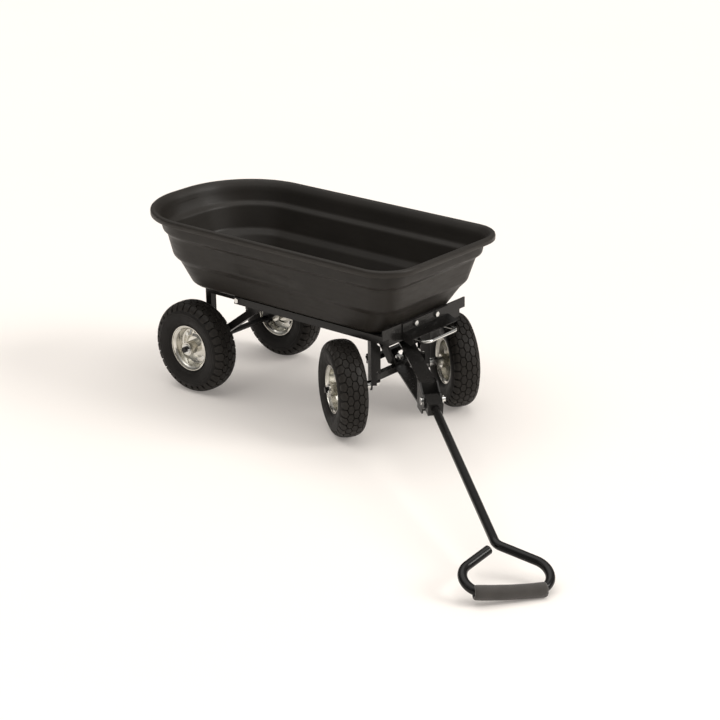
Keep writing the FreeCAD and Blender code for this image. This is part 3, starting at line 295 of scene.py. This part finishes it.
def zinc(name, low, high, rough_low, rough_high):
    """Zinc plate: a faint patchy colour, patchy roughness and small dulled spots."""
    finish = Finish(name, Metallic=1.0)
    patch = finish.noise(26.0, 4.0, 0.6)
    spots = finish.noise(210.0, 3.0, 0.7)
    base = finish.ramp(patch, (0.3, low), (0.7, high))
    spotted = finish.mixed(finish.span(spots, 0.0, 0.28, 0.52, 0.7), base, tuple(0.62 * c for c in low))
    finish.colour(spotted)
    finish.rough(finish.span(finish.noise(90.0, 5.0, 0.65), rough_low, rough_high))
    finish.bump((finish.noise(300.0, 3.0), 0.00012, 0.4))
    return finish.material


def grip_foam():
    finish = Finish("grip_foam", IOR=1.45, Sheen_Weight=0.25, Sheen_Roughness=0.6)
    broad = finish.noise(40.0, 5.0)
    base = finish.ramp(broad, (0.3, (0.030, 0.026, 0.022)), (0.7, (0.046, 0.040, 0.035)))
    pores = finish.span(finish.cells(950.0), 0.0, 1.0, 0.05, 0.45)
    finish.colour(finish.mixed(pores, (0.018, 0.016, 0.014), base))
    finish.rough(finish.span(finish.noise(80.0, 3.0), 0.78, 0.94))
    finish.bump((pores, 0.0003, 0.6), (finish.noise(55.0, 3.0), 0.0008, 0.3))
    return finish.material


def floor_paint_and_glow():
    # Pale floor paint, plus a faint warm glow: painted light that lightens the shadows cast on the floor.
    finish = Finish("floor_paint_and_glow", Emission_Color=(1.0, 0.93, 0.87, 1.0), Emission_Strength=0.2)
    broad = finish.noise(0.6, 2.0)
    finish.colour(finish.ramp(broad, (0.3, (0.715, 0.685, 0.655)), (0.7, (0.725, 0.696, 0.666))))
    finish.rough(0.9)
    return finish.material


FINISHES = {
    "tub_plastic": tub_plastic(),
    "tyre_rubber": tyre_rubber(),
    "grip_foam": grip_foam(),
    "black_paint": black_paint(),
    "zinc_sheet": zinc("zinc_sheet", (0.60, 0.585, 0.53), (0.80, 0.785, 0.73), 0.14, 0.27),
    "zinc_bright": zinc("zinc_bright", (0.64, 0.64, 0.62), (0.84, 0.84, 0.82), 0.12, 0.24),
}


def finish_nodes():
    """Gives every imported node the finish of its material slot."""
    for part in frame["record"]["subparts"]:
        node = NODES[part["node"]]
        node.data.materials.clear()
        node.data.materials.append(FINISHES[part["material_slot"]])


# ---------------------------------------------------------------- the tub
def outline(level, centre, half, front, rear):
    """The points of one outline, anticlockwise from the middle of the side at +X."""
    height, side_in, front_in, rear_in, front_radius, rear_radius = level
    x1 = half - side_in * MM
    y0 = front + front_in * MM
    y1 = rear - rear_in * MM
    rf = front_radius * MM
    rr = rear_radius * MM
    back = (PANEL_REAR, PANEL_REAR + PANEL_EDGE, PANEL_FRONT - PANEL_EDGE, PANEL_FRONT)
    panel = [rear - distance * MM for distance in back]
    points = []

    def arc(cx, cy, radius, start, steps):
        for i in range(steps + 1):
            a = math.radians(start + 90.0 * i / steps)
            points.append((cx + radius * math.cos(a), cy + radius * math.sin(a)))

    def side(x, ys):
        for y in ys:
            points.append((x, y))

    def between(a, b, n):
        return [a + (b - a) * (i + 1) / (n + 1) for i in range(n)]

    rear_end = y1 - rr
    front_end = y0 + rf
    forward = between(front_end, panel[3], 3) + panel[::-1] + between(panel[0], rear_end, 5)
    arc(x1 - rr, y1 - rr, rr, 0, REAR_CORNER_STEPS)
    side_x = between(x1 - rr, -(x1 - rr), 2)
    points.extend((x, y1) for x in side_x)
    arc(-(x1 - rr), y1 - rr, rr, 90, REAR_CORNER_STEPS)
    side(-x1, forward[::-1])
    arc(-(x1 - rf), front_end, rf, 180, FRONT_CORNER_STEPS)
    points.extend((x, y0) for x in between(-(x1 - rf), x1 - rf, 8))
    arc(x1 - rf, front_end, rf, 270, FRONT_CORNER_STEPS)
    side(x1, forward)
    return [Vector((centre + x, y, height * MM)) for x, y in points], panel


def tub_rows():
    """The tub's section as one run: up the outside, round the rim and down the inside."""
    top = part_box("tub")[1].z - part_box("tub")[0].z
    rim = top / MM
    outside = list(TUB_LEVELS) + [TUB_WALL_TOP]
    outer = softened(outside, LEDGE_SOFTNESS)
    for height in (PANEL_LOW, PANEL_LOW + PANEL_EDGE, PANEL_HIGH - PANEL_EDGE, PANEL_HIGH):
        for i, (a, b) in enumerate(zip(outer, outer[1:])):
            if a[0] < height < b[0]:
                outer.insert(i + 1, blend_rows(a, b, (height - a[0]) / (b[0] - a[0])))
                break
    inner_levels = []
    for level in outside:
        insets = tuple(v + TUB_WALL for v in level[1:4])
        radii = tuple(v - TUB_WALL for v in level[4:])
        inner_levels.append((level[0],) + insets + radii)
    inner_levels[0] = (TUB_WALL,) + inner_levels[0][1:]
    inner_levels[1] = (inner_levels[1][0] + 2.0,) + inner_levels[1][1:]
    inner_levels[-1] = (rim - 30.0,) + inner_levels[-1][1:]
    inner = softened(inner_levels, LEDGE_SOFTNESS)[::-1]

    def rim_row(height, inward):
        return (height, inward, inward, inward, RIM_FRONT_RADIUS - inward, RIM_REAR_RADIUS - inward)

    wall = TUB_WALL_TOP
    under = [(rim - 16.5,) + wall[1:], rim_row(rim - 11.0, 17.5), rim_row(rim - 7.0, 12.5),
             rim_row(rim - 5.0, 8.0), rim_row(rim - 7.0, 5.0), rim_row(rim - RIM_LIP + 3, 3.6),
             rim_row(rim - RIM_LIP, 2.8)]
    over = [rim_row(rim - RIM_LIP - 0.3, 1.6), rim_row(rim - RIM_LIP + 1.0, 0.2), rim_row(rim - 7.0, 0.0),
            rim_row(rim - 3.6, 1.0), rim_row(rim - 1.2, 3.4), rim_row(rim, 7.0), rim_row(rim - 0.9, 11.5),
            rim_row(rim - 3.6, 15.5), rim_row(rim - 7.5, 18.5)]
    lip_in = (rim - 13.0,) + tuple(v - 1.5 for v in wall[1:4]) + wall[4:]
    lip_low = (rim - 20.0,) + tuple(v + 1.8 for v in wall[1:4]) + tuple(v - 1.8 for v in wall[4:])
    return outer, outer + under + over + [lip_in, lip_low] + inner


def make_tub():
    low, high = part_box("tub")
    centre = (low.x + high.x) / 2
    half = (high.x - low.x) / 2
    outer, rows = tub_rows()
    bm = bmesh.new()
    rings = []
    for index, level in enumerate(rows):
        points, panel = outline(level, centre, half, low.y, high.y)
        ring = []
        for point in points:
            place = point + Vector((0, 0, low.z))
            on_panel = PANEL_LOW + 0.1 < level[0] < PANEL_HIGH - 0.1
            if index < len(outer) and on_panel and panel[3] + 0.0001 < place.y < panel[0] - 0.0001:
                place.x -= math.copysign(PANEL_DEPTH * MM, place.x - centre)
            ring.append(bm.verts.new(place))
        rings.append(ring)
    count = len(rings[0])
    for a, b in zip(rings, rings[1:]):
        for i in range(count):
            j = (i + 1) % count
            bm.faces.new((a[i], a[j], b[j], b[i]))
    for ring, flip in ((rings[0], True), (rings[-1], False)):
        bm.faces.new(ring[::-1] if flip else ring)
    piece = mesh_piece("moulded_tub", bm, FINISHES["tub_plastic"], 50)
    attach(piece, "tub")
    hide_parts("tub")
    return piece


# ---------------------------------------------------------------- the tyres
class TyreSection:
    """The tyre's outer face as a smooth curve that is measured along its length from the crown."""

    def __init__(self, steps=12):
        points = [(-TYRE_SIDE[1][0], TYRE_SIDE[1][1])] + list(TYRE_SIDE)
        points.append(tuple(2 * b - a for a, b in zip(points[-2], points[-1])))
        self.points = []
        for p0, p1, p2, p3 in zip(points, points[1:], points[2:], points[3:]):
            for i in range(steps):
                self.points.append(self.smooth(p0, p1, p2, p3, i / steps))
        self.points.append(points[-2])
        self.lengths = [0.0]
        for a, b in zip(self.points, self.points[1:]):
            self.lengths.append(self.lengths[-1] + math.dist(a, b))
        self.length = self.lengths[-1]

    @staticmethod
    def smooth(p0, p1, p2, p3, t):
        return tuple(0.5 * (2 * b + (c - a) * t + (2 * a - 5 * b + 4 * c - d) * t * t
                            + (3 * b - a - 3 * c + d) * t ** 3) for a, b, c, d in zip(p0, p1, p2, p3))

    def at(self, s, depth):
        """(along the axle, radius) at a distance from the crown, a depth below the outer face."""
        side = math.copysign(1.0, s)
        s = min(abs(s), self.length - 1e-6)
        i = next(k for k, length in enumerate(self.lengths[1:]) if length >= s)
        t = (s - self.lengths[i]) / (self.lengths[i + 1] - self.lengths[i])
        x, r = blend_rows(self.points[i], self.points[i + 1], t)
        dx = self.points[i + 1][0] - self.points[i][0]
        dr = self.points[i + 1][1] - self.points[i][1]
        size = math.hypot(dx, dr)
        return side * (x + dr / size * depth), r - dx / size * depth


SECTION = TyreSection()


def tread_floor(s):
    """How far the carcass lies below the outer face: the groove depth, easing out on the shoulder."""
    fade = (SHOULDER_END + 4.0 - abs(s)) / 8.0
    return TREAD_DEPTH * min(1.0, max(0.0, fade))


def sidewall_ring(s):
    """Small raised rings on the sidewall."""
    lift = 0.0
    for at, height, width in ((56.0, 0.9, 1.3), (62.0, 0.5, 0.9), (84.0, 0.9, 1.4), (89.0, 0.5, 0.9)):
        gap = abs(abs(s) - at)
        if gap < width:
            lift += height * 0.5 * (1 + math.cos(math.pi * gap / width))
    return lift


def tyre_point(s, angle, depth):
    x, r = SECTION.at(s, depth)
    return Vector((x * MM, r * MM * math.cos(angle), r * MM * math.sin(angle)))


def add_block(bm, stations, turn, depth_at):
    """One tread block from (place across the tread, half its length round the tyre) stations."""
    crown = SECTION.at(0.0, 0.0)[1]
    chamfer = 0.8
    tops, uppers, feet = [], [], []
    last = len(stations) - 1
    for i, (s, half) in enumerate(stations):
        inward = chamfer if i == 0 else -chamfer if i == last else 0.0
        inner = max(half - chamfer, 0.15)
        row_top, row_upper, row_foot = [], [], []
        for t in (-1.0, 0.0, 1.0):
            row_top.append(bm.verts.new(tyre_point(s + inward, turn + t * inner / crown, depth_at(s, 0.0))))
        for t in (-1.0, 1.0):
            row_upper.append(bm.verts.new(tyre_point(s, turn + t * half / crown, depth_at(s, 0.8))))
            row_foot.append(bm.verts.new(tyre_point(s, turn + t * (half + 0.5) / crown, TREAD_DEPTH + 0.6)))
        tops.append(row_top)
        uppers.append(row_upper)
        feet.append(row_foot)
    for a, b in zip(tops, tops[1:]):
        bm.faces.new((a[0], b[0], b[1], a[1]))
        bm.faces.new((a[1], b[1], b[2], a[2]))
    for k in (0, 1):
        for a, b, c, d in zip(uppers, uppers[1:], feet, feet[1:]):
            bm.faces.new((a[k], b[k], d[k], c[k]))
    for k, m in ((0, 0), (1, 2)):
        for a, b, c, d in zip(tops, tops[1:], uppers, uppers[1:]):
            bm.faces.new((a[m], b[m], d[k], c[k]))
    for end in (0, last):
        bm.faces.new((tops[end][0], tops[end][1], tops[end][2], uppers[end][1], uppers[end][0]))
        bm.faces.new((uppers[end][0], uppers[end][1], feet[end][1], feet[end][0]))
    bm.faces.new([row[0] for row in feet] + [row[1] for row in feet[::-1]])


def tyre_mesh():
    bm = bmesh.new()
    steps = 60
    half = []
    for i in range(steps + 1):
        s = SECTION.length * i / steps
        half.append(SECTION.at(s, tread_floor(s) - sidewall_ring(s)))
    half += list(TYRE_INSIDE)
    loop = half + [(-x, r) for x, r in half[:0:-1]]
    rings = []
    for k in range(TYRE_SEGMENTS):
        a = 2 * math.pi * k / TYRE_SEGMENTS
        rings.append([bm.verts.new((x * MM, r * MM * math.cos(a), r * MM * math.sin(a))) for x, r in loop])
    for k in range(TYRE_SEGMENTS):
        a, b = rings[k], rings[(k + 1) % TYRE_SEGMENTS]
        for i in range(len(loop)):
            j = (i + 1) % len(loop)
            bm.faces.new((a[i], a[j], b[j], b[i]))
    pitch = 2 * math.pi * SECTION.at(0.0, 0.0)[1] / TREAD_PITCHES
    flat = pitch / 2 - TREAD_GAP / 2
    point = TREAD_ROW_STEP * 2 / 3 - TREAD_GAP / 2
    shoulder = TREAD_ROW_STEP / 3 - TREAD_GAP / 4

    def top_depth(s, extra):
        return extra + max(0.0, (abs(s) - 38.0) / (SHOULDER_END - 38.0)) * 1.4

    for k in range(TREAD_PITCHES):
        for row in (-2, -1, 0, 1, 2):
            turn = 2 * math.pi * (k + 0.5 * (row % 2)) / TREAD_PITCHES
            middle = row * TREAD_ROW_STEP
            if abs(row) < 2:
                stations = [(-point, 1.0), (-shoulder, flat), (0.0, flat), (shoulder, flat), (point, 1.0)]
                stations = [(middle + s, t) for s, t in stations]
            else:
                side = math.copysign(1.0, row)
                ends = [(-point, 1.0), (-shoulder, flat), (2.0, flat), (7.0, flat * 0.92),
                        (12.0, flat * 0.80), (SHOULDER_END - abs(middle), flat * 0.66)]
                stations = [(middle + side * s, t) for s, t in ends]
            add_block(bm, stations, turn, top_depth)
    bmesh.ops.recalc_face_normals(bm, faces=bm.faces)
    mesh = bpy.data.meshes.new("treaded_tyre")
    bm.to_mesh(mesh)
    bm.free()
    for polygon in mesh.polygons:
        polygon.use_smooth = True
    mesh.set_sharp_from_angle(angle=math.radians(38))
    mesh.materials.append(FINISHES["tyre_rubber"])
    return mesh


def wheel_places():
    """Each wheel's hub centre and its axle's direction, pointing across the cart to +X."""
    for place in ("rear_left", "rear_right", "front_left", "front_right"):
        joint = JOINTS["wheel_" + place + "_spin"]
        axis = Vector(joint["axis"]).normalized()
        yield place, Vector(joint["pos_m"]), axis if axis.x > 0 else -axis


def make_tyres():
    mesh = tyre_mesh()
    for place, hub, axis in wheel_places():
        turn = Matrix.Rotation(math.atan2(axis.y, axis.x), 4, "Z")
        piece = bpy.data.objects.new("treaded_tyre_" + place, mesh)
        bpy.context.scene.collection.objects.link(piece)
        piece.matrix_world = Matrix.Translation(hub) @ turn
        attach(piece, "wheel_" + place)
        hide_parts(place + "_tyre")


# ---------------------------------------------------------------- the grip
class GripLine:
    """The foam grip's bowed centre line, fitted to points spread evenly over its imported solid."""

    def __init__(self, mesh):
        points = self.spread(mesh)
        middle = points.mean(axis=0)
        axis = np.linalg.svd(points - middle, full_matrices=False)[2][0]
        place = self.spanned((points - middle) @ axis)
        for _ in range(6):
            self.curve = np.polynomial.chebyshev.chebfit(place, points, 2)
            self.slope = np.polynomial.chebyshev.chebder(self.curve)
            step = ((points - self.at(place)) * self.along(place)).sum(axis=1)
            place = self.spanned(place + step / (self.along(place) ** 2).sum(axis=1))

    @staticmethod
    def spanned(place):
        return 2 * (place - place.min()) / np.ptp(place) - 1

    @staticmethod
    def spread(mesh):
        mesh.calc_loop_triangles()
        corners = np.array([[tuple(mesh.vertices[i].co) for i in face.vertices]
                            for face in mesh.loop_triangles])
        first, second = corners[:, 1] - corners[:, 0], corners[:, 2] - corners[:, 0]
        area = np.linalg.norm(np.cross(first, second), axis=1) / 2
        count = np.ceil(area / 2e-6).astype(int)
        face = np.repeat(np.arange(len(corners)), count)
        order = np.concatenate([np.arange(n) for n in count]) + 0.5
        reach = np.sqrt(order / count[face])[:, None]
        turn = ((order * 0.618034) % 1.0)[:, None]
        return corners[face, 0] + first[face] * reach * (1 - turn) + second[face] * reach * turn

    def at(self, place):
        return np.polynomial.chebyshev.chebval(place, self.curve).T

    def along(self, place):
        return np.polynomial.chebyshev.chebval(place, self.slope).T


def make_grip():
    line = GripLine(NODES["grip"].data)
    radius = GRIP_RADIUS * MM
    bore = GRIP_BORE * MM
    stations = 60
    around = 40
    profile = [(0.0, bore), (0.0, radius * 0.84), (0.006, radius * 0.92), (0.018, radius * 0.975)]
    profile += [(0.03 + 0.94 * i / stations, radius) for i in range(stations + 1)]
    profile += [(0.982, radius * 0.975), (0.994, radius * 0.92), (1.0, radius * 0.84), (1.0, bore)]
    bm = bmesh.new()
    rings = []
    for t, size in profile:
        ahead = Vector(line.along(2 * t - 1)).normalized()
        side = ahead.orthogonal() if not rings else side
        side = (side - ahead * side.dot(ahead)).normalized()
        up = ahead.cross(side)
        swell = 1.0 + 0.008 * math.sin(9.0 * t + 1.0) + 0.005 * math.sin(23.0 * t)
        ring = []
        for k in range(around):
            a = 2 * math.pi * k / around
            ring.append(bm.verts.new(Vector(line.at(2 * t - 1))
                                     + (side * math.cos(a) + up * math.sin(a)) * size * swell))
        rings.append(ring)
    for a, b in zip(rings, rings[1:] + rings[:1]):
        for i in range(around):
            j = (i + 1) % around
            bm.faces.new((a[i], a[j], b[j], b[i]))
    piece = mesh_piece("foam_grip", bm, FINISHES["grip_foam"], 60)
    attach(piece, "handle")
    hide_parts("grip")


# ---------------------------------------------------------------- the room
def make_floor():
    bm = bmesh.new()
    bmesh.ops.create_grid(bm, x_segments=2, y_segments=2, size=30)
    floor = mesh_piece("studio_floor", bm, floor_paint_and_glow())


def lamp(name, kind, place, aim, **settings):
    light = bpy.data.lights.new(name, kind)
    light.color = (1.0, 0.975, 0.94)
    for key, value in settings.items():
        setattr(light, key, value)
    piece = bpy.data.objects.new(name, light)
    piece.location = place
    piece.rotation_euler = (Vector(aim) - Vector(place)).to_track_quat("-Z", "Y").to_euler()
    bpy.context.scene.collection.objects.link(piece)


def make_light():
    world = bpy.data.worlds.new("studio")
    bpy.context.scene.world = world
    world.use_nodes = True
    sky = world.node_tree.nodes["Background"]
    sky.inputs["Strength"].default_value = 1.0
    tree = world.node_tree
    split = tree.nodes.new("ShaderNodeSeparateXYZ")
    ramp = tree.nodes.new("ShaderNodeValToRGB")
    tree.links.new(tree.nodes.new("ShaderNodeTexCoord").outputs["Generated"], split.inputs[0])
    tree.links.new(split.outputs["Z"], ramp.inputs["Fac"])
    tree.links.new(ramp.outputs["Color"], sky.inputs["Color"])
    for element, (at, level) in zip(ramp.color_ramp.elements, SKY_LEVELS):
        element.position = at
        element.color = (level, level * 0.975, level * 0.95, 1.0)
    lamp("sun_above", "SUN", (-0.3, 0.3, 4.0), (0, 0, 0), energy=1.6, angle=math.radians(70))
    lamp("sun_front", "SUN", (1.6, -3.4, 2.6), (0, 0, 0), energy=1.55, angle=math.radians(28))
    lamp("softbox", "AREA", (0.4, -3.6, 2.2), (0, 0, 0.3),
         energy=14, shape="RECTANGLE", size=2.4, size_y=1.0)
    lamp("side_box", "AREA", (-4.2, -0.2, 1.9), (0, 0, 0.3),
         energy=9, shape="RECTANGLE", size=2.6, size_y=0.7)
    bpy.context.scene.view_settings.view_transform = "Standard"


def make_camera():
    yaw, pitch = math.radians(CAMERA_YAW), math.radians(CAMERA_PITCH)
    ahead = Vector((math.cos(pitch) * math.sin(yaw), math.cos(pitch) * math.cos(yaw), -math.sin(pitch)))
    aim = (CAD_LOW + CAD_HIGH) / 2 + CAMERA_AIM_OFFSET
    lens = bpy.data.cameras.new("camera")
    lens.lens = CAMERA_LENS
    lens.sensor_width = 36.0
    camera = bpy.data.objects.new("camera", lens)
    camera.matrix_world = (Matrix.Translation(aim - ahead * CAMERA_DISTANCE)
                           @ ahead.to_track_quat("-Z", "Y").to_matrix().to_4x4()
                           @ Matrix.Rotation(math.radians(CAMERA_ROLL), 4, "Z"))
    bpy.context.scene.collection.objects.link(camera)
    bpy.context.scene.camera = camera


finish_nodes()
make_tub()
make_tyres()
make_grip()
make_floor()
make_light()
make_camera()
